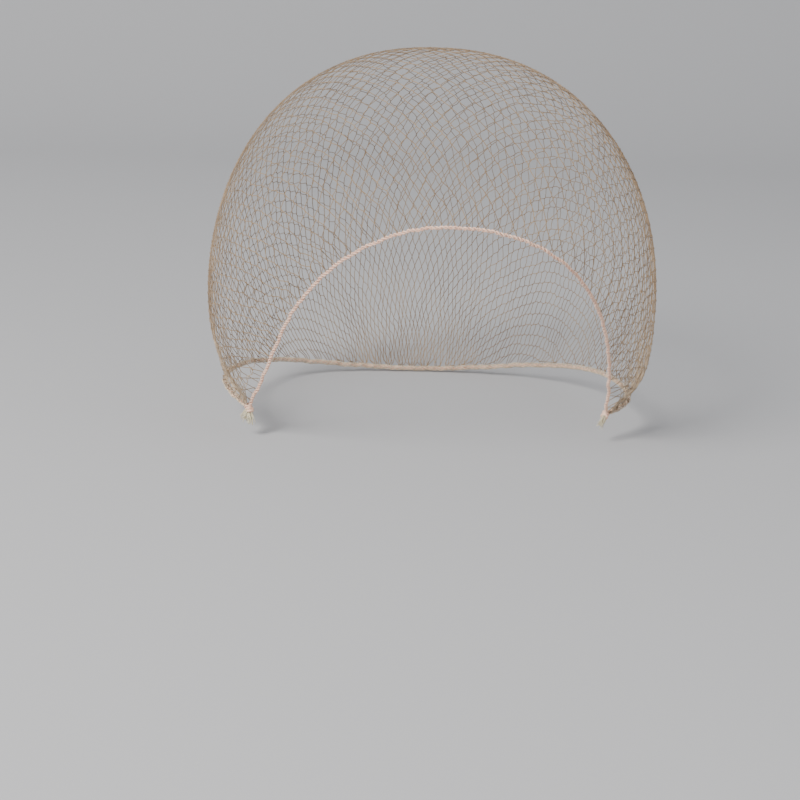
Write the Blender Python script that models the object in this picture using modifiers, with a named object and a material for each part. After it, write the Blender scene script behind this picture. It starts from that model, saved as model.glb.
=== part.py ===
"""Hairnet: a bag of fine net between two elastics that are knotted together over each ear.

The net is worn: its front edge crosses the forehead and its rear edge lies round the nape.
Front is -Y, the wearer's left is +X and up is +Z. The origin is the seat on top of the head,
under the crown of the net. Lengths are metres and angles are radians.
"""
from math import cos, exp, pi, radians, sin

import bmesh
import bpy
from mathutils import Vector

# The bag, a rounded body that the hair fills
HALF_WIDTH = 0.0944
HALF_LENGTH = 0.1040
HALF_HEIGHT = 0.1073
BODY_ROUNDNESS = 2.22          # 2 is an ellipsoid, more is squarer
BODY_BEHIND_KNOTS = 0.0140
BODY_ABOVE_KNOTS = 0.0430
WALL = 0.0010                  # net with the hair's loft under it

# The knots over the ears, where both elastics and the ends of the net are tied
KNOT_HALF_SPAN = 0.0755
KNOT_RADIUS = 0.0017
KNOT_LENGTH = 0.0046
TAPER_LEFT = 0.0101            # how far from a knot the net has widened to the full bag
TAPER_RIGHT = 0.0213
TAPER_SHARPNESS = 1.5          # 1 is a cusp at the knot, more is blunter

# The forehead elastic, an arch in one plane through both knots
FOREHEAD_TILT = radians(52.4)  # from straight ahead up to the arch's plane
FOREHEAD_RISE = 0.1168         # from the line of the knots to the middle of an even arch
ARCH_ROUNDNESS_LEFT = 2.37
ARCH_ROUNDNESS_RIGHT = 1.84
TEMPLE_DRAW = 0.0030           # the arch is drawn in over both temples and stands out over the brow
TEMPLE_SWAY = 0.0013           # and lies further in over the right temple than over the left
FOREHEAD_ELASTIC = 0.0016      # diameter
FOREHEAD_ROLL = 0.0145         # over this the net swells off the elastic, less by the knots

# The nape elastic, with the net's rear edge gathered on it
NAPE_LIFT = radians(6.0)       # it leaves the knots a little upward
NAPE_DIP = radians(6.0)        # and hangs a little at the back
NAPE_ELASTIC = 0.0024          # diameter with the gathered edge
NAPE_TUCK = 0.0035             # how deep the elastic draws the bag in
NAPE_ROLL = 0.0140

# Folds that the gathering leaves in the net
KNOT_PLEATS = 7
PLEAT_DEPTH = 0.0011
PLEAT_START = 0.0080           # from the knot line, where a pleat has its full depth
PLEAT_REACH = 0.0240           # over this it fades out
NAPE_GATHERS = 16
GATHER_DEPTH = 0.0015
GATHER_REACH = 0.0140          # from the elastic; the folds are deepest halfway

# The cut ends of the net beyond each knot, in locks
TUFT_LEFT = 0.0066             # from the middle of the knot to the longest lock's tip
TUFT_RIGHT = 0.0074
LOCK_RADIUS = 0.0010
LOCK_ARCH = 0.06               # of its length, how far the middle of a lock arches up

CLEARANCE = 0.0003             # between pieces that touch

NET_COLUMNS = 64               # ear to ear
NET_ROWS = 30                  # forehead to nape
CORD_POINTS = 60

SEAT = Vector((0.0, BODY_BEHIND_KNOTS, BODY_ABOVE_KNOTS + HALF_HEIGHT - WALL))


def clear_scene():
    for old in list(bpy.data.objects):
        bpy.data.objects.remove(old, do_unlink=True)


def new_collection(name):
    collection = bpy.data.collections.new(name)
    bpy.context.scene.collection.children.link(collection)
    return collection


def new_material(name, colour, roughness):
    material = bpy.data.materials.new(name)
    material.use_nodes = True
    shader = material.node_tree.nodes["Principled BSDF"]
    shader.inputs["Base Color"].default_value = (*colour, 1.0)
    shader.inputs["Roughness"].default_value = roughness
    shader.inputs["Metallic"].default_value = 0.0
    return material


def heading(across, around):
    """Unit direction from the middle of the knot line.

    across runs from 0 at the right knot to pi at the left one, around from 0 straight ahead
    over pi/2 straight up to pi straight back.
    """
    return Vector((-cos(across), -sin(across) * cos(around), sin(across) * sin(around)))


def body_radius(direction):
    """Distance from the middle of the knot line to the rounded body along a direction."""
    centre = (0.0, BODY_BEHIND_KNOTS, BODY_ABOVE_KNOTS)
    halves = (HALF_WIDTH, HALF_LENGTH, HALF_HEIGHT)
    near, far = 0.0, 3.0 * max(halves)
    for _ in range(40):
        middle = (near + far) / 2
        fill = sum(abs((d * middle - c) / h) ** BODY_ROUNDNESS
                   for d, c, h in zip(direction, centre, halves))
        if fill < 1.0:
            near = middle
        else:
            far = middle
    return near


POLE_RADIUS = body_radius((1.0, 0.0, 0.0))


def tapered_radius(across, around):
    """The body's radius, drawn in to the knots at both ends."""
    radius = body_radius(heading(across, around))
    taper = TAPER_LEFT if across > pi / 2 else TAPER_RIGHT
    off_axis = radius * sin(across)
    return radius * (1 - (1 - KNOT_HALF_SPAN / POLE_RADIUS) * exp(-(off_axis / taper) ** TAPER_SHARPNESS))


def arch_radius(across):
    """Distance from the middle of the knot line to the forehead elastic."""
    power = ARCH_ROUNDNESS_LEFT if across > pi / 2 else ARCH_ROUNDNESS_RIGHT
    radius = ((abs(cos(across)) / KNOT_HALF_SPAN) ** power
              + (sin(across) / FOREHEAD_RISE) ** power) ** (-1 / power)
    return radius - TEMPLE_DRAW * sin(3 * across) - TEMPLE_SWAY * sin(4 * across)


def nape_angle(across):
    """Turn about the knot line at which the nape elastic lies."""
    return pi - NAPE_LIFT + (NAPE_LIFT + NAPE_DIP) * sin(across) ** 2


def net_radius(across, around):
    """The net's outer face: the tapered body, brought down to both elastics, with its folds."""
    radius = tapered_radius(across, around)
    off_axis = radius * sin(across)
    from_arch = off_axis * (around - FOREHEAD_TILT)
    from_nape = off_axis * (nape_angle(across) - around)
    to_arch = arch_radius(across) - tapered_radius(across, FOREHEAD_TILT)
    radius += to_arch * exp(-from_arch / (FOREHEAD_ROLL * sin(across)))
    radius -= NAPE_TUCK * sin(across) ** 4 * exp(-from_nape / NAPE_ROLL)
    share = (around - FOREHEAD_TILT) / (nape_angle(across) - FOREHEAD_TILT)
    pleat = (1 - exp(-(off_axis / PLEAT_START) ** 2)) * exp(-off_axis / PLEAT_REACH)
    radius += PLEAT_DEPTH * pleat * sin(2 * pi * KNOT_PLEATS * share)
    steps = 2 * from_nape / GATHER_REACH
    gather = steps * exp(1 - steps) * sin(across)
    radius += GATHER_DEPTH * gather * cos(2 * NAPE_GATHERS * across)
    return radius


def place(direction, radius):
    return direction * radius - SEAT


def forehead_point(across):
    return place(heading(across, FOREHEAD_TILT), arch_radius(across))


def nape_point(across):
    around = nape_angle(across)
    return place(heading(across, around), net_radius(across, around))


def across_at(off_axis):
    """The value of across at which the net is a given distance from the knot line."""
    return off_axis / KNOT_HALF_SPAN


def make_net(collection, material):
    first = across_at(KNOT_LENGTH / 2 + CLEARANCE + WALL)
    front_gap = FOREHEAD_ELASTIC / 2 + CLEARANCE
    rear_gap = NAPE_ELASTIC / 2 + CLEARANCE
    bm = bmesh.new()
    bmesh.ops.create_grid(bm, x_segments=NET_COLUMNS, y_segments=NET_ROWS, size=1.0)
    for vert in bm.verts:
        across = first + (vert.co.x + 1) / 2 * (pi - 2 * first)
        off_axis = tapered_radius(across, FOREHEAD_TILT) * sin(across)
        start = FOREHEAD_TILT + front_gap / off_axis
        end = nape_angle(across) - rear_gap / off_axis
        around = start + (vert.co.y + 1) / 2 * (end - start)
        vert.co = place(heading(across, around), net_radius(across, around))
    bmesh.ops.recalc_face_normals(bm, faces=bm.faces)
    top = max(bm.faces, key=lambda face: face.calc_center_median().z)
    if top.normal.z < 0:
        bmesh.ops.reverse_faces(bm, faces=bm.faces)
    mesh = bpy.data.meshes.new("net")
    bm.to_mesh(mesh)
    bm.free()
    mesh.shade_smooth()
    net = bpy.data.objects.new("net", mesh)
    collection.objects.link(net)
    net.data.materials.append(material)
    shell = net.modifiers.new("wall", "SOLIDIFY")
    shell.thickness = WALL
    shell.offset = -1.0
    shell.use_even_offset = True
    return net


def make_cord(name, points, diameter, collection, material):
    """A round cord along a list of points, with flat ends."""
    curve = bpy.data.curves.new(name, "CURVE")
    curve.dimensions = "3D"
    curve.bevel_depth = diameter / 2
    curve.bevel_resolution = 2
    curve.use_fill_caps = True
    spline = curve.splines.new("POLY")
    spline.points.add(len(points) - 1)
    for slot, point in zip(spline.points, points):
        slot.co = (*point, 1.0)
    cord = bpy.data.objects.new(name, curve)
    collection.objects.link(cord)
    cord.data.materials.append(material)
    return cord


def make_elastic(name, point_at, diameter, collection, material):
    """A cord from knot to knot that stops just clear of both."""
    first = across_at(KNOT_LENGTH / 2 + CLEARANCE)
    steps = [first + i / (CORD_POINTS - 1) * (pi - 2 * first) for i in range(CORD_POINTS)]
    return make_cord(name, [point_at(step) for step in steps], diameter, collection, material)


def make_lock(name, centre, tip, cutters):
    """One tapering lock of cut net that arches from the knot's centre to its tip."""
    curve = bpy.data.curves.new(name, "CURVE")
    curve.dimensions = "3D"
    curve.bevel_depth = LOCK_RADIUS
    curve.bevel_resolution = 1
    curve.use_fill_caps = True
    # Each row is a section: its share of the length and its width
    sections = [(0.1, 0.9), (0.4, 1.0), (0.7, 0.8), (1.0, 0.35)]
    arch = Vector((0.0, 0.0, (tip - centre).length * LOCK_ARCH))
    spline = curve.splines.new("POLY")
    spline.points.add(len(sections) - 1)
    for slot, (share, width) in zip(spline.points, sections):
        slot.co = (*(centre.lerp(tip, share) + arch * sin(pi * share)), 1.0)
        slot.radius = width
    draft = bpy.data.objects.new(name, curve)
    cutters.objects.link(draft)
    depsgraph = bpy.context.evaluated_depsgraph_get()
    mesh = bpy.data.meshes.new_from_object(draft.evaluated_get(depsgraph))
    bpy.data.objects.remove(draft, do_unlink=True)
    bm = bmesh.new()
    bm.from_mesh(mesh)
    bmesh.ops.remove_doubles(bm, verts=bm.verts, dist=1e-6)
    bm.to_mesh(mesh)
    bm.free()
    lock = bpy.data.objects.new(name, mesh)
    lock.hide_render = True
    lock.display_type = "WIRE"
    cutters.objects.link(lock)
    return lock


def make_knot(name, side, tuft, locks, collection, cutters, material):
    """The tied knot with the cut ends of the net beyond it, as one solid.

    locks is a table with a row for each lock: its share of the tuft's length, and the way it
    points, as parts outward, forward and down. The knot lies along its first lock.
    """
    centre = place(Vector((side, 0.0, 0.0)), KNOT_HALF_SPAN)
    tips = [Vector((side * out, -forward, -down)).normalized() * tuft * share
            for share, out, forward, down in locks]
    bm = bmesh.new()
    bmesh.ops.create_uvsphere(bm, u_segments=14, v_segments=8, radius=KNOT_RADIUS)
    lie = tips[0].to_track_quat("Z", "Y").to_matrix()
    for vert in bm.verts:
        vert.co.z *= KNOT_LENGTH / (2 * KNOT_RADIUS)
        vert.co = centre + lie @ vert.co
    mesh = bpy.data.meshes.new(name)
    bm.to_mesh(mesh)
    bm.free()
    mesh.shade_smooth()
    knot = bpy.data.objects.new(name, mesh)
    collection.objects.link(knot)
    knot.data.materials.append(material)
    for number, tip in enumerate(tips, 1):
        lock = make_lock(f"{name}_lock_{number}", centre, centre + tip, cutters)
        union = knot.modifiers.new(f"lock_{number}", "BOOLEAN")
        union.operation = "UNION"
        union.solver = "EXACT"
        union.object = lock
    return knot


def make_hairnet():
    clear_scene()
    collection = new_collection("hairnet")
    cutters = new_collection("cutters")
    tan = new_material("tan_net", (0.46, 0.36, 0.26), 0.6)
    white = new_material("white_elastic", (0.84, 0.78, 0.68), 0.7)
    pale = new_material("pale_knot", (0.80, 0.74, 0.58), 0.75)
    make_net(collection, tan)
    make_elastic("forehead_elastic", forehead_point, FOREHEAD_ELASTIC, collection, white)
    make_elastic("nape_elastic", nape_point, NAPE_ELASTIC, collection, white)
    # Each row is a lock: its share of the tuft, then its way outward, forward and down
    left_locks = [(1.00, -0.50, 0.62, 0.50), (0.82, -0.30, 0.60, 0.85)]
    right_locks = [(1.00, -0.35, 0.40, 1.00), (0.85, 0.15, 0.30, 1.00), (0.70, 0.75, 0.10, 0.80)]
    make_knot("knot_left", 1.0, TUFT_LEFT, left_locks, collection, cutters, pale)
    make_knot("knot_right", -1.0, TUFT_RIGHT, right_locks, collection, cutters, pale)


make_hairnet()
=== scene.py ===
from math import cos, pi, radians, sin, tau

import bpy
import numpy as np
from mathutils import Matrix, Vector, noise
from mathutils.bvhtree import BVHTree


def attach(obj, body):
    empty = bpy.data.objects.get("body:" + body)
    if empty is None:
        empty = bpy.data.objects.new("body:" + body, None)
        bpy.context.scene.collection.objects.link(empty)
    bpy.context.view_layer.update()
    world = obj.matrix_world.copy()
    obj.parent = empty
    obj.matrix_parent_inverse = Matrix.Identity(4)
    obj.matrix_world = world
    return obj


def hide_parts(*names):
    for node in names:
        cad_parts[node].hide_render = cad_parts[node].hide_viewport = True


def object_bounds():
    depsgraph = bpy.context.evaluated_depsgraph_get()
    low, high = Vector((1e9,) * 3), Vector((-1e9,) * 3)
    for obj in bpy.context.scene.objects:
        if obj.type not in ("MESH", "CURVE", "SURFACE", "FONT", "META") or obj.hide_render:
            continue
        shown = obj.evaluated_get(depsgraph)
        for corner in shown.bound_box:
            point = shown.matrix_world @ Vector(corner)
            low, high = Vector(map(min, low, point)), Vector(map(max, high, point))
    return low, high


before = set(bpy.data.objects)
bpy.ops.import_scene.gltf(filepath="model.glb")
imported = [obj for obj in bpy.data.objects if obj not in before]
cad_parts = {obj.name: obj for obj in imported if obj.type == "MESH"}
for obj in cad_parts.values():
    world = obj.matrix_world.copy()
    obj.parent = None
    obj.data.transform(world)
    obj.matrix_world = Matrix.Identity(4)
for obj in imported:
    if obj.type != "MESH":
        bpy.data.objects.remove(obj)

bpy.ops.object.select_all(action="DESELECT")
cad_low, cad_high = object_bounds()


# The camera stands about 0.8 m in front of the net, a little above it, and looks down with a
# long lens. It was fitted to the outline, the forehead elastic and the knots in the photograph.
camera_place = Vector((-0.0632, -0.8313, 0.1039))
camera_heading = radians(-3.58)
camera_pitch = radians(16.88)
camera_roll = radians(2.18)

bpy.ops.object.camera_add()
camera = bpy.context.object
camera.name = "camera"
camera.data.sensor_width = 36.0
camera.data.lens = 91.31
camera.matrix_world = (
    Matrix.Translation(camera_place)
    @ Matrix.Rotation(camera_heading, 4, "Z")
    @ Matrix.Rotation(pi / 2 - camera_pitch, 4, "X")
    @ Matrix.Rotation(camera_roll, 4, "Z")
)
bpy.context.scene.camera = camera


# The two elastics give the hairnet its rim. They meet in a knot at each side, so every place
# on the rim and on the net is found by its heading from the middle between the knots.
between_knots = np.array((0.0, -0.0140, -0.1493))
half_span = 0.0755
forehead_tilt = radians(52.4)
nape_lift = radians(6)
nape_dip = radians(6)
ray_length = 0.30
rim_steps = np.linspace(0.0, pi, 241)


def heading(across, around):
    """Across runs from the right knot to the left, around from the front over the top."""
    return np.stack((
        -np.cos(across),
        -np.sin(across) * np.cos(around),
        np.sin(across) * np.sin(around),
    ), axis=-1)


def forehead_angle(across):
    return np.full_like(across, forehead_tilt)


def nape_angle(across):
    return pi - nape_lift + (nape_lift + nape_dip) * np.sin(across) ** 2


def node_tree(node):
    """The surface of a CAD node, to be felt with rays."""
    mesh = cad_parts[node].data
    places = [vertex.co for vertex in mesh.vertices]
    faces = [tuple(face.vertices) for face in mesh.polygons]
    return BVHTree.FromPolygons(places, faces)


def outer_reach(tree, away):
    start = Vector(between_knots + away * ray_length)
    return ray_length - (tree.ray_cast(start, Vector(-away), ray_length)[3] or np.nan)


def inner_reach(tree, away):
    return tree.ray_cast(Vector(between_knots), Vector(away), ray_length)[3] or np.nan


def rim_line(node, angle_at):
    """The middle line of an elastic from knot to knot, with a point for each of rim_steps."""
    tree = node_tree(node)
    away = heading(rim_steps, angle_at(rim_steps))
    reach = np.array([(outer_reach(tree, one) + inner_reach(tree, one)) / 2 for one in away])
    known = np.flatnonzero(~np.isnan(reach))
    found = between_knots + away[known] * reach[known, None]
    ends = [between_knots + (side * half_span, 0.0, 0.0) for side in (-1, 1)]
    steps = [0.0, *rim_steps[known], pi]
    line = np.array([ends[0], *found, ends[1]])
    return np.stack([np.interp(rim_steps, steps, line[:, axis]) for axis in range(3)], axis=-1)


forehead_line = rim_line("forehead_elastic", forehead_angle)
nape_line = rim_line("nape_elastic", nape_angle)


# The net is one fabric of fine tan nylon thread, in diamond cells. It is laid out flat as a
# lattice, wrapped over the form of the bag, and then let go until its bars pull evenly.
net_wall = 0.0010
bar_length = 0.0053
half_opening = radians(37)
lattice_half = 60
pole_lean = radians(27)
flat_radius = 0.100
drawn_to = radians(156)
form_middle = np.array((0.0, 0.0, -0.1063))
wrap_rounds = 25
pull_rounds = 300
pull_gain = 1.6
drift_size = 0.016
drift_depth = 0.0014
join_scatter = 0.00018
rng = np.random.default_rng(7)
noise.seed_set(7)

across_steps = np.linspace(0.0, pi, 181)
around_steps = np.linspace(radians(20), radians(235), 216)
past_last = 1.001


def measure_net():
    """How far the middle of the net's wall lies from between_knots, for a grid of headings."""
    tree = node_tree("net")
    grid = heading(*np.meshgrid(across_steps, around_steps, indexing="ij"))
    reach = np.array([[outer_reach(tree, away) for away in row] for row in grid])
    columns = np.arange(len(around_steps))
    for row in reach:
        known = np.flatnonzero(~np.isnan(row))
        if len(known):
            row[:] = np.interp(columns, known, row[known])
    rows = np.flatnonzero(~np.isnan(reach[:, 0]))
    reach[:rows[0]] = reach[rows[0]]
    reach[rows[-1] + 1:] = reach[rows[-1]]
    return reach - net_wall / 2


net_reach = measure_net()


def polar(points):
    """Distance from between_knots, across and around of each point."""
    away = points - between_knots
    distance = np.linalg.norm(away, axis=-1)
    across = np.arccos(np.clip(-away[..., 0] / distance, -1, 1))
    around = np.arctan2(away[..., 2], -away[..., 1])
    return distance, across, np.where(around < -pi / 2, around + tau, around)


def on_net(points):
    """The points moved straight out or in until they lie on the net."""
    distance, across, around = polar(points)
    x = across / (across_steps[1] - across_steps[0])
    x = np.clip(x, 0, len(across_steps) - past_last)
    y = (around - around_steps[0]) / (around_steps[1] - around_steps[0])
    y = np.clip(y, 0, len(around_steps) - past_last)
    i, j = x.astype(int), y.astype(int)
    x, y = x - i, y - j
    near = net_reach[i, j] * (1 - x) + net_reach[i + 1, j] * x
    far = net_reach[i, j + 1] * (1 - x) + net_reach[i + 1, j + 1] * x
    reach = near * (1 - y) + far * y
    return between_knots + (points - between_knots) * (reach / distance)[..., None]


def room(points):
    """How far each point lies inside the rim, and whether the forehead side is the nearer."""
    distance, across, around = polar(points)
    off_axis = distance * np.sin(across)
    front = off_axis * (around - forehead_tilt)
    rear = off_axis * (nape_angle(across) - around)
    return np.minimum(front, rear), front < rear


def draw_over_form():
    """The flat lattice wrapped over the form from a pole at the front of its top."""
    i, j = np.meshgrid(*[np.arange(-lattice_half, lattice_half + 1)] * 2, indexing="ij")
    sideways = bar_length * sin(half_opening) * (i + j)
    backward = bar_length * cos(half_opening) * (j - i)
    turn = np.hypot(sideways, backward) / flat_radius
    course = np.arctan2(backward, sideways)
    pole = np.array((0.0, -sin(pole_lean), cos(pole_lean)))
    back = np.array((0.0, cos(pole_lean), sin(pole_lean)))
    right = np.array((1.0, 0.0, 0.0))
    away = np.cos(turn)[..., None] * pole
    away = away + (np.sin(turn) * np.cos(course))[..., None] * right
    away = away + (np.sin(turn) * np.sin(course))[..., None] * back
    points = form_middle + away * flat_radius
    for _ in range(wrap_rounds):
        reach = np.sum((on_net(points) - form_middle) * away, axis=-1, keepdims=True)
        points = form_middle + away * reach
    return on_net(points), turn < drawn_to


def let_go(points, knitted):
    """The lattice after its stretched bars have pulled their two ends together."""
    for _ in range(pull_rounds):
        pull = np.zeros_like(points)
        bars = np.zeros(knitted.shape)
        for start, end in (((slice(None, -1), slice(None)), (slice(1, None), slice(None))),
                           ((slice(None), slice(None, -1)), (slice(None), slice(1, None)))):
            along = points[end] - points[start]
            length = np.linalg.norm(along, axis=-1)
            both = knitted[start] & knitted[end]
            strain = np.maximum(length - bar_length, 0) / np.maximum(length, 1e-6) * both
            half = along * strain[..., None] / 2
            pull[start] += half
            pull[end] -= half
            bars[start] += both
            bars[end] += both
        points = on_net(points + pull * (pull_gain / np.maximum(bars, 1))[..., None])
    return points


def unit(vectors):
    return vectors / np.maximum(np.linalg.norm(vectors, axis=-1, keepdims=True), 1e-9)


joins, knitted = draw_over_form()
joins = let_go(joins, knitted)
drift = [[noise.noise_vector(Vector(place) / drift_size) for place in row] for row in joins]
joins = on_net(joins + drift_depth * np.array(drift) + rng.normal(0.0, join_scatter, joins.shape))


# Where two threads meet, they are looped together for just over a millimetre. The first
# thread runs straight through each join, and the second one crosses over it there.
thread_radius = 0.00016
cross_thread_radius = 0.00014
join_half = 0.00062
join_spread = (0.8, 1.25)
join_turn = 0.45
bar_slack = 0.00016
rim_clearance = 0.0013
forehead_cord_radius = 0.0007
nape_cord_radius = 0.0009
catch_places = ((1.6, 0.7), (0.8, 0.5))
gather_pull = 0.45
gather_step = radians(3.1)
look_ahead = 0.01
thread_sides = 5

along_thread = np.gradient(joins, axis=0)
along_cross = np.gradient(joins, axis=1)
out_of_net = unit(np.cross(along_thread, along_cross))
out_of_net *= np.sign(np.sum(out_of_net * (joins - form_middle), axis=-1, keepdims=True))
join_lie = unit(unit(along_thread) + join_turn * unit(along_thread - along_cross))
join_side = unit(np.cross(out_of_net, join_lie))
join_side *= np.sign(np.sum(join_side * along_cross, axis=-1, keepdims=True))
join_reach = join_half * rng.uniform(*join_spread, knitted.shape)[..., None]
inside = knitted & (room(joins)[0] > rim_clearance)


def rim_end(inner, outer):
    """The two places where a thread that leaves the net is caught by an elastic.

    On the nape side the threads are gathered, so each is pulled towards the nearest gather.
    """
    pair = np.array([inner, outer])
    depth, fronts = room(pair)
    share = depth[0] / max(depth[0] - depth[1], 1e-9)
    across = polar(pair[0] + (pair[1] - pair[0]) * share)[1]
    if fronts[1]:
        line, cord = forehead_line, forehead_cord_radius
    else:
        line, cord = nape_line, nape_cord_radius
        across = across + gather_pull * (round(across / gather_step) * gather_step - across)
    centre = np.array([np.interp(across, rim_steps, line[:, axis]) for axis in range(3)])
    ahead = np.array([np.interp(across + look_ahead, rim_steps, line[:, axis]) for axis in range(3)])
    outward = unit(centre - form_middle)
    inward = unit(np.cross(unit(ahead - centre), outward))
    inward = inward * np.sign(np.dot(inward, inner - centre))
    return [centre + cord * (along * inward + out * outward) for along, out in catch_places]


def sagging_middle(start, end):
    """The middle of a bar, a little off the straight line, as slack thread lies."""
    middle = (start + end) / 2
    return on_net(middle + rng.normal(0.0, bar_slack, 3))


def straight_thread(i, j):
    """The points of the first thread at a join."""
    reach = join_lie[i, j] * join_reach[i, j]
    return [joins[i, j] - reach, joins[i, j] + reach]


def crossing_thread(i, j):
    """The points of the second thread at a join: it comes in, crosses over and goes out."""
    reach = join_lie[i, j] * join_reach[i, j]
    beside = join_side[i, j] * (thread_radius + cross_thread_radius)
    over = out_of_net[i, j] * (thread_radius + cross_thread_radius)
    return [joins[i, j] + reach - beside, joins[i, j] + over, joins[i, j] - reach + beside]


def runs(kept):
    """The unbroken stretches of a row of true and false, as first and last place."""
    edges = np.flatnonzero(np.diff(np.concatenate(([0], kept.astype(int), [0]))))
    return [(first, last - 1) for first, last in zip(edges[::2], edges[1::2])]


def thread_paths(axis, at_join):
    """One path of points for each thread of a family, from rim to rim."""
    paths = []
    for row in range(joins.shape[1 - axis]):
        kept = inside[:, row] if axis == 0 else inside[row, :]
        cell = (lambda k: (k, row)) if axis == 0 else (lambda k: (row, k))
        for first, last in runs(kept):
            path = list(reversed(rim_end(joins[cell(first)], joins[cell(first - 1)])))
            for place in range(first, last + 1):
                points = at_join(*cell(place))
                path.append(sagging_middle(path[-1], points[0]))
                path.extend(points)
            slack_end = sagging_middle(path[-1], joins[cell(last)])
            path.append((slack_end + path[-1]) / 2)
            path.extend(rim_end(joins[cell(last)], joins[cell(last + 1)]))
            paths.append(np.array(path))
    return paths


def sweep(name, paths, radius, sides):
    """One mesh of round threads along paths. Its UV map runs in millimetres along a thread."""
    places, faces, lengths, corner_turns = [], [], [], []
    turns = np.arange(sides) * tau / sides
    askew = (0.3, 0.5, 0.8)
    for path in paths:
        tangents = unit(np.gradient(path, axis=0))
        first = len(places)
        side = unit(np.cross(tangents[0], askew))
        run = np.concatenate(([0.0], np.cumsum(np.linalg.norm(np.diff(path, axis=0), axis=1))))
        thick = radius(run / run[-1]) if callable(radius) else np.full(len(path), radius)
        for centre, tangent, size, length in zip(path, tangents, thick, run):
            side = unit(side - tangent * np.dot(side, tangent))
            other = np.cross(tangent, side)
            places.extend(centre + size * (cos(turn) * side + sin(turn) * other) for turn in turns)
            lengths.extend([length] * sides)
        for ring in range(len(path) - 1):
            start = first + ring * sides
            for k in range(sides):
                after = (k + 1) % sides
                faces.append((start + k, start + after, start + after + sides, start + k + sides))
                corner_turns.extend((k, k + 1, k + 1, k))
        faces.append(tuple(first + k for k in reversed(range(sides))))
        faces.append(tuple(len(places) - sides + k for k in range(sides)))
        corner_turns.extend((*reversed(range(sides)), *range(sides)))
    mesh = bpy.data.meshes.new(name)
    mesh.from_pydata([tuple(place) for place in places], [], faces)
    layer = mesh.uv_layers.new(name="thread")
    corner = np.empty(len(mesh.loops), int)
    mesh.loops.foreach_get("vertex_index", corner)
    along = np.array(lengths)[corner] * 1000
    around = np.array(corner_turns) / sides
    layer.data.foreach_set("uv", np.stack((along, around), axis=-1).ravel())
    mesh.shade_smooth()
    piece = bpy.data.objects.new(name, mesh)
    bpy.context.collection.objects.link(piece)
    return piece


def fibre_material(name, colour, deep_colour, patch_size, roughness, sheen, grain, twist=False):
    """Spun fibre: two close shades in soft patches, and fine ridges of the filaments.

    With twist, the ridges wind round the thread, along its own UV map.
    """
    deep_below, light_above = 0.36, 0.62
    ridge_strength, ridge_depth = 0.6, 0.00012
    material = bpy.data.materials.new(name)
    material.use_nodes = True
    nodes, links = material.node_tree.nodes, material.node_tree.links
    shader = nodes["Principled BSDF"]
    shader.inputs["Roughness"].default_value = roughness
    shader.inputs["Sheen Weight"].default_value = sheen
    shader.inputs["Sheen Roughness"].default_value = 0.4
    place = nodes.new("ShaderNodeTexCoord")
    patches = nodes.new("ShaderNodeTexNoise")
    patches.inputs["Scale"].default_value = 1 / patch_size
    patches.inputs["Detail"].default_value = 3.0
    shades = nodes.new("ShaderNodeValToRGB")
    shades.color_ramp.elements[0].position = deep_below
    shades.color_ramp.elements[0].color = (*deep_colour, 1.0)
    shades.color_ramp.elements[1].position = light_above
    shades.color_ramp.elements[1].color = (*colour, 1.0)
    bump = nodes.new("ShaderNodeBump")
    bump.inputs["Strength"].default_value = ridge_strength
    bump.inputs["Distance"].default_value = ridge_depth
    links.new(place.outputs["Object"], patches.inputs["Vector"])
    links.new(patches.outputs["Fac"], shades.inputs["Fac"])
    links.new(shades.outputs["Color"], shader.inputs["Base Color"])
    if twist:
        along_round = nodes.new("ShaderNodeSeparateXYZ")
        winding = nodes.new("ShaderNodeMath")
        winding.operation = "MULTIPLY_ADD"
        winding.inputs[1].default_value = 1 / (grain * 1000)
        phase = nodes.new("ShaderNodeMath")
        phase.operation = "MULTIPLY"
        phase.inputs[1].default_value = tau
        ridges = nodes.new("ShaderNodeMath")
        ridges.operation = "SINE"
        links.new(place.outputs["UV"], along_round.inputs["Vector"])
        links.new(along_round.outputs["X"], winding.inputs[0])
        links.new(along_round.outputs["Y"], winding.inputs[2])
        links.new(winding.outputs["Value"], phase.inputs[0])
        links.new(phase.outputs["Value"], ridges.inputs[0])
        links.new(ridges.outputs["Value"], bump.inputs["Height"])
    else:
        ridges = nodes.new("ShaderNodeTexNoise")
        ridges.inputs["Scale"].default_value = 1 / grain
        ridges.inputs["Detail"].default_value = 2.0
        links.new(place.outputs["Object"], ridges.inputs["Vector"])
        links.new(ridges.outputs["Fac"], bump.inputs["Height"])
    links.new(bump.outputs["Normal"], shader.inputs["Normal"])
    return material


net_fibre = fibre_material("tan_nylon", (0.42, 0.28, 0.155), (0.27, 0.17, 0.09),
                           patch_size=0.012, roughness=0.38, sheen=0.3, grain=0.0007, twist=True)
net_threads = sweep("net_threads", thread_paths(0, straight_thread), thread_radius, thread_sides)
net_cross_threads = sweep("net_cross_threads", thread_paths(1, crossing_thread),
                          cross_thread_radius, thread_sides)
for piece in (net_threads, net_cross_threads):
    piece.data.materials.append(net_fibre)
    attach(piece, "root")
    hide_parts("net")


# The net narrows to each knot, so its last cells are drawn together there. They lie as a fan
# of long narrow cells between the two elastics, where each thread meets its neighbours in turn.
fan_strands = 42
fan_root = 0.0022
fan_length = 0.032
fan_step = 0.0007
fan_marks = 121
fan_cell = 0.0046
fan_free_share = 0.6
fan_scatter = 0.00006
knot_scatter = 0.0004


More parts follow.
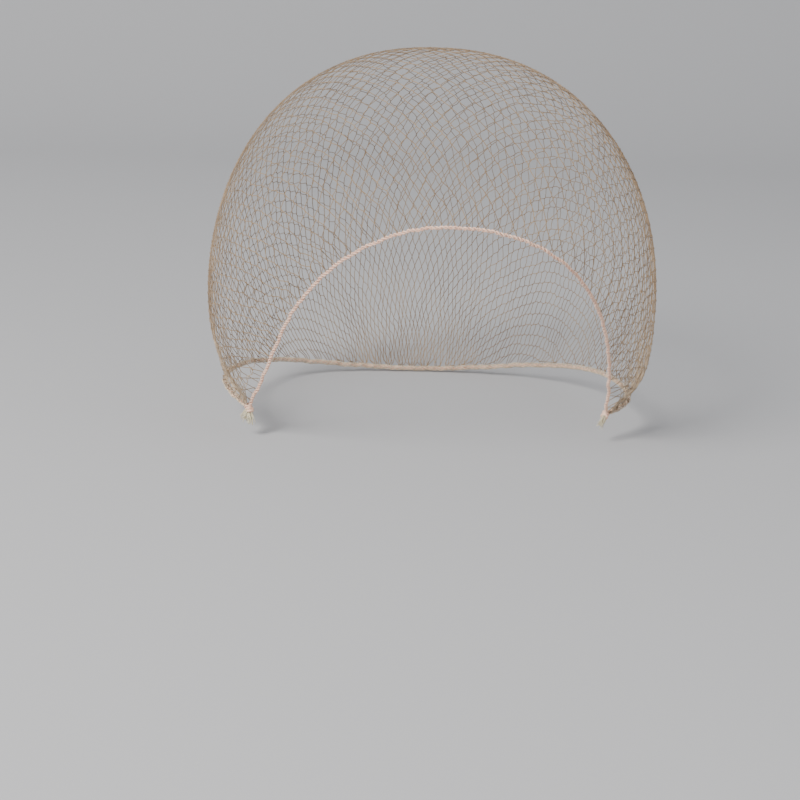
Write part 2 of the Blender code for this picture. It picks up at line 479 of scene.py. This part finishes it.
def fan_sections(side, along):
    """Lines over the net from elastic to elastic, and how far along its line each point lies."""
    across = (along / half_span if side < 0 else pi - along / half_span)[:, None]
    share = np.linspace(0.0, 1.0, fan_marks)
    around = forehead_tilt + share * (nape_angle(across) - forehead_tilt)
    away = heading(np.broadcast_to(across, around.shape), around)
    lines = on_net(between_knots + away * half_span)
    steps = np.linalg.norm(np.diff(lines, axis=1), axis=2)
    reached = np.concatenate((np.zeros((len(along), 1)), np.cumsum(steps, axis=1)), axis=1)
    return lines, reached / reached[:, -1:]


def fan_paths(side):
    """Threads that zigzag from a knot up over the net, each to the join nearest to its end."""
    paths = []
    free = joins[inside]
    knot = between_knots + (side * half_span, 0.0, 0.0)
    along = np.arange(fan_root, fan_length, fan_step)
    lines, reached = fan_sections(side, along)
    zigzag = 2 * np.abs(along / fan_cell % 1 * 2 - 1) - 1
    for strand in range(fan_strands):
        share = (strand + 0.5 + zigzag * (strand % 2 - 0.5)) / fan_strands
        points = np.array([[np.interp(place, reach, line[:, axis]) for axis in range(3)]
                           for place, reach, line in zip(share, reached, lines)])
        points = points[:rng.integers(len(points) * 2 // 3, len(points))]
        aim = free[np.argmin(np.linalg.norm(free - points[-1], axis=1))]
        loose = np.linspace(0.0, 1.0, len(points))[:, None]
        blend = np.maximum(loose - fan_free_share, 0) / (1 - fan_free_share)
        points = points + (aim - points[-1]) * blend
        points = points + rng.normal(0.0, fan_scatter, points.shape)
        root = knot + rng.normal(0.0, knot_scatter, 3)
        paths.append(np.array([root, *points]))
    return paths


drawn_fibre = fibre_material("drawn_together_nylon", (0.62, 0.48, 0.33), (0.42, 0.30, 0.19),
                             patch_size=0.006, roughness=0.38, sheen=0.3, grain=0.0007,
                             twist=True)
net_fans = sweep("net_fans", fan_paths(-1) + fan_paths(1), cross_thread_radius, thread_sides)
net_fans.data.materials.append(drawn_fibre)
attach(net_fans, "root")
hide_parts("net")


# The forehead elastic is a cord of two plies twisted together, in off-white polyester over
# rubber. A fine binding thread winds round it and ties the edge of the net to it.
elastic_ply_radius = 0.00036
elastic_ply_offset = 0.00043
elastic_pitch = 0.0036
elastic_ends = 3
binding_radius = 0.00015
binding_offset = 0.00058
binding_pitch = 0.0025
waver_size = 0.0034
waver_depth = 0.00050


def wavering(line):
    """The line without its last points at the knots, bent a little as a slack cord is."""
    line = line[elastic_ends:-elastic_ends]
    return line + waver_depth * np.array([noise.noise_vector(Vector(p) / waver_size) for p in line])


def path_curve(name, line):
    """A curve for the Curve modifier, along a line of points."""
    curve = bpy.data.curves.new(name, "CURVE")
    curve.dimensions = "3D"
    spline = curve.splines.new("POLY")
    spline.points.add(len(line) - 1)
    for slot, point in zip(spline.points, line):
        slot.co = (*point, 1.0)
    route = bpy.data.objects.new(name, curve)
    bpy.context.collection.objects.link(route)
    return route


def twist_strands(name, line, strands, offset, radius, pitch, sides, rings, hand=1):
    """Round strands laid round a common axis: a circle each, screwed up and bent to the line."""
    length = np.linalg.norm(np.diff(line, axis=0), axis=1).sum()
    turns = max(1, round(length / pitch))
    bpy.ops.object.select_all(action="DESELECT")
    for strand in range(strands):
        angle = tau * strand / strands
        bpy.ops.mesh.primitive_circle_add(
            vertices=sides, radius=radius, location=(offset * cos(angle), offset * sin(angle), 0))
        if strand == 0:
            rope = bpy.context.object
        else:
            bpy.context.object.select_set(True)
            rope.select_set(True)
            bpy.context.view_layer.objects.active = rope
            bpy.ops.object.join()
        bpy.ops.object.select_all(action="DESELECT")
    rope.name = name
    rope.select_set(True)
    bpy.context.view_layer.objects.active = rope
    bpy.ops.object.transform_apply(location=True, rotation=True, scale=True)
    screw = rope.modifiers.new("twist", "SCREW")
    screw.axis = "Z"
    screw.angle = hand * tau
    screw.screw_offset = length / turns
    screw.iterations = turns
    screw.steps = rings
    screw.render_steps = rings
    screw.use_merge_vertices = False
    bpy.ops.object.modifier_apply(modifier="twist")
    route = path_curve(name + "_route", line)
    bend = rope.modifiers.new("route", "CURVE")
    bend.object = route
    bend.deform_axis = "POS_Z"
    bpy.ops.object.modifier_apply(modifier="route")
    bpy.data.objects.remove(route, do_unlink=True)
    bpy.ops.object.mode_set(mode="EDIT")
    bpy.ops.mesh.select_all(action="SELECT")
    bpy.ops.mesh.fill_holes(sides=sides)
    bpy.ops.mesh.select_all(action="SELECT")
    bpy.ops.mesh.normals_make_consistent(inside=False)
    bpy.ops.object.mode_set(mode="OBJECT")
    rope.data.shade_smooth()
    rope.select_set(False)
    return rope


def join_pieces(first, *others):
    bpy.ops.object.select_all(action="DESELECT")
    for piece in (first, *others):
        piece.select_set(True)
    bpy.context.view_layer.objects.active = first
    bpy.ops.object.join()
    bpy.ops.object.select_all(action="DESELECT")
    return first


elastic_fibre = fibre_material("off_white_elastic", (0.98, 0.68, 0.52), (0.84, 0.52, 0.38),
                               patch_size=0.0016, roughness=0.62, sheen=0.4, grain=0.0003)
forehead_route = wavering(forehead_line)
forehead = twist_strands("forehead_cord", forehead_route, 2, elastic_ply_offset,
                         elastic_ply_radius, elastic_pitch, sides=8, rings=12)
binding = twist_strands("forehead_binding", forehead_route, 1, binding_offset,
                        binding_radius, binding_pitch, sides=6, rings=12, hand=-1)
forehead = join_pieces(forehead, binding)
forehead.data.materials.append(elastic_fibre)
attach(forehead, "root")
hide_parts("forehead_elastic")


# The nape elastic is the same cord. The edge of the net is gathered and rolled round it, so
# it shows as a thicker band, with strands of the net that wind slowly along it.
gathered_fibre = fibre_material("gathered_edge", (0.74, 0.63, 0.48), (0.54, 0.43, 0.30),
                                patch_size=0.003, roughness=0.55, sheen=0.4, grain=0.0004)
rolled_offset = 0.00092
rolled_radius = 0.00019
rolled_pitch = 0.0130
over_offset = 0.00100
over_radius = 0.00016
over_pitch = 0.0087

nape_route = wavering(nape_line)
nape = twist_strands("nape_cord", nape_route, 2, elastic_ply_offset,
                     elastic_ply_radius, elastic_pitch, sides=8, rings=12)
rolled = twist_strands("nape_rolled_edge", nape_route, 5, rolled_offset, rolled_radius,
                       rolled_pitch, sides=6, rings=20)
rolled_over = twist_strands("nape_rolled_over", nape_route, 3, over_offset, over_radius,
                            over_pitch, sides=6, rings=16, hand=-1)
nape.data.materials.append(elastic_fibre)
rolled = join_pieces(rolled, rolled_over)
rolled.data.materials.append(gathered_fibre)
for piece in (nape, rolled):
    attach(piece, "root")
    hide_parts("nape_elastic")


# On each side both elastics and the end of the net are tied in one small knot. Beyond it the
# cut ends of net and elastic stand out in a short tuft, fuller at the right knot.
knot_turns = 3.0
knot_turn_radius = 0.00108
knot_cord_radius = 0.00056
knot_length = 0.0036
coil_points = 60
over_points = 24
core_points = 6
core_low = -0.55
core_high = 0.6
knot_sides = 8
over_turn_share = 1.25
over_turn_slant = 0.30
filament_radius = 0.00017
filaments = 90
filament_points = 7
filament_sides = 5
filament_taper = 0.5
filament_root = 0.0006
filament_wave = 0.00045
shortest_filament = 0.65
tuft_spread = 0.0006


def knot_coil(centre, lie, flip):
    """The wound cord of a knot, one turn laid slantwise over the others, and the core inside."""
    turned = np.array(Vector(lie).to_track_quat("Z", "Y").to_matrix())
    share = np.linspace(0.0, 1.0, coil_points)
    angle = flip * tau * knot_turns * share
    coil = np.stack((knot_turn_radius * np.cos(angle), knot_turn_radius * np.sin(angle),
                     (share - 0.5) * knot_length), axis=-1)
    turn = tau * np.linspace(0.0, 1.0, over_points)
    wide = knot_turn_radius * over_turn_share
    over = np.stack((wide * np.cos(turn), wide * np.sin(turn),
                     knot_length * over_turn_slant * np.cos(turn)), axis=-1)
    middle = np.linspace(core_low, core_high, core_points) * knot_length
    core = np.stack((np.zeros(core_points), np.zeros(core_points), middle), axis=-1)
    return [centre + path @ turned.T for path in (coil, over, core)]


def tuft_filaments(centre, side, tuft, locks):
    """Cut filaments that fan out between the tuft's locks, each lock a length and a heading."""
    paths = []
    columns = np.array(locks).T
    for _ in range(filaments):
        between = rng.uniform(0.0, len(locks) - 1)
        share, outward, forward, down = [
            np.interp(between, range(len(locks)), column) for column in columns]
        aim = unit(np.array((side * outward, -forward, -down)))
        tip = centre + aim * tuft * share * rng.uniform(shortest_filament, 1.0)
        tip = tip + rng.normal(0.0, tuft_spread, 3)
        root = centre + rng.normal(0.0, filament_wave, 3) - aim * filament_root
        along = np.linspace(0.0, 1.0, filament_points)[:, None]
        wave = np.sin(along * pi) * rng.normal(0.0, filament_wave, 3)
        paths.append(root * (1 - along) + tip * along + wave)
    return paths


knot_fibre = fibre_material("knot_ends", (0.86, 0.80, 0.60), (0.66, 0.58, 0.40),
                            patch_size=0.002, roughness=0.6, sheen=0.4, grain=0.0004)
# For each knot its side, its tuft's length, and a row for each lock: the lock's share of that
# length, and how far it points outward, forward and down.
knots = {
    "knot_left": (1, 0.0066, [(1.0, -0.50, 0.62, 0.50), (0.82, -0.30, 0.60, 0.85)]),
    "knot_right": (-1, 0.0074, [(1.0, -0.35, 0.40, 1.0), (0.85, 0.15, 0.30, 1.0),
                                (0.70, 0.75, 0.10, 0.80)]),
}
for node, (side, tuft, locks) in knots.items():
    centre = between_knots + (side * half_span, 0.0, 0.0)
    lie = unit(np.array((side * locks[0][1], -locks[0][2], -locks[0][3])))
    wound = sweep(node + "_wound", knot_coil(centre, lie, side), knot_cord_radius,
                  knot_sides)
    ends = sweep(node + "_ends", tuft_filaments(centre, side, tuft, locks),
                 lambda share: filament_radius * (1.0 - filament_taper * share), filament_sides)
    wound.data.materials.append(elastic_fibre)
    ends.data.materials.append(knot_fibre)
    for piece in (wound, ends):
        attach(piece, "root")
        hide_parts(node)


# The stage is a pale sheet that lies as the floor and curves up close behind, and far off on
# the other sides, so that no edge of it shows from any side. A large soft lamp stands at the
# upper left, a weak one at the right, and even light comes from all round.
floor_gap = 0.0005
floor_level = cad_low.z - floor_gap
floor_front = -7.0
floor_width = 14.0
wall_place = 1.1
wall_height = 1.9
curve_radius = 0.45
curve_steps = 16
lamp_aim = Vector((0.0, 0.0, -0.08))

bpy.ops.mesh.primitive_plane_add(size=1.0)
backdrop = bpy.context.object
backdrop.name = "backdrop"
backdrop.scale = (floor_width, wall_place - floor_front, 1.0)
backdrop.location = (0.0, (wall_place + floor_front) / 2, floor_level)
bpy.ops.object.transform_apply(location=True, rotation=True, scale=True)
bpy.ops.object.mode_set(mode="EDIT")
bpy.ops.mesh.select_all(action="SELECT")
bpy.ops.mesh.extrude_edges_move(TRANSFORM_OT_translate={"value": (0.0, 0.0, wall_height)})
bpy.ops.mesh.select_all(action="SELECT")
bpy.ops.mesh.normals_make_consistent(inside=True)
bpy.ops.object.mode_set(mode="OBJECT")
curve_in = backdrop.modifiers.new("curve_in", "BEVEL")
curve_in.width = curve_radius
curve_in.segments = curve_steps
bpy.ops.object.modifier_apply(modifier="curve_in")
backdrop.data.shade_smooth()

paper = bpy.data.materials.new("pale_paper")
paper.use_nodes = True
paper_shader = paper.node_tree.nodes["Principled BSDF"]
paper_shader.inputs["Base Color"].default_value = (0.50, 0.50, 0.51, 1.0)
paper_shader.inputs["Roughness"].default_value = 0.9
backdrop.data.materials.append(paper)


def soft_lamp(name, place, size, watts, tint):
    bpy.ops.object.light_add(type="AREA", location=place)
    lamp = bpy.context.object
    lamp.name = name
    lamp.data.shape = "DISK"
    lamp.data.size = size
    lamp.data.energy = watts
    lamp.data.color = tint
    aim = lamp_aim - Vector(place)
    lamp.rotation_euler = aim.to_track_quat("-Z", "Y").to_euler()


soft_lamp("key_lamp", (-0.9, -0.9, 0.9), size=0.7, watts=34.0, tint=(1.0, 0.98, 0.95))
soft_lamp("fill_lamp", (1.1, -0.7, 0.4), size=0.9, watts=3.0, tint=(0.96, 0.98, 1.0))
world = bpy.context.scene.world or bpy.data.worlds.new("room_light")
bpy.context.scene.world = world
world.use_nodes = True
world_nodes = world.node_tree.nodes
room_light = world_nodes.get("Background") or world_nodes.new("ShaderNodeBackground")
room_light.inputs["Color"].default_value = (0.92, 0.95, 1.0, 1.0)
room_light.inputs["Strength"].default_value = 0.59
